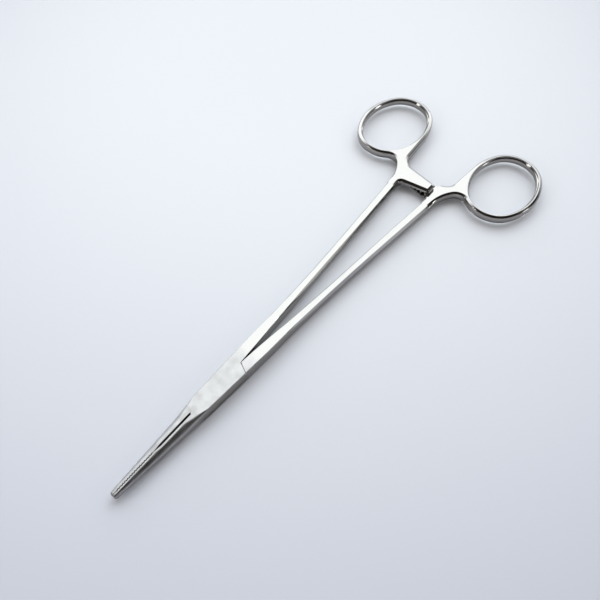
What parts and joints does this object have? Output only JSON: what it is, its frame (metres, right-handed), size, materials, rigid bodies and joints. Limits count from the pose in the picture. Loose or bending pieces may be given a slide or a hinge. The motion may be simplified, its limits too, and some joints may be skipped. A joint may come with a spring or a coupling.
{
  "type": "box-lock haemostatic forceps",
  "caption": "Straight locking artery forceps with finger rings, a ratchet between the shanks, a box lock and tapering serrated jaws.",
  "frame": {"origin": "point where the pivot pin's axis meets the plane of the lock's flat underside", "axes": "+X from the pin to the jaw tips, +Y towards the male half's finger ring, +Z along the pin out of the top face"},
  "size_m": [0.1589, 0.0646, 0.0044],
  "materials": {
    "forged_steel": "polished to satin stainless steel",
    "pin_steel": "satin stainless steel, ground flush"
  },
  "bodies": {
    "female": {"female_half": "forged_steel", "pivot_pin": "pin_steel"},
    "male": {"male_half": "forged_steel"}
  },
  "joints": [
    {"name": "box_lock", "type": "hinge", "parent": "female", "child": "male", "pos_m": [0, 0, 0], "axis": [0, 0, -1], "range_deg": [0, 60]}
  ]
}
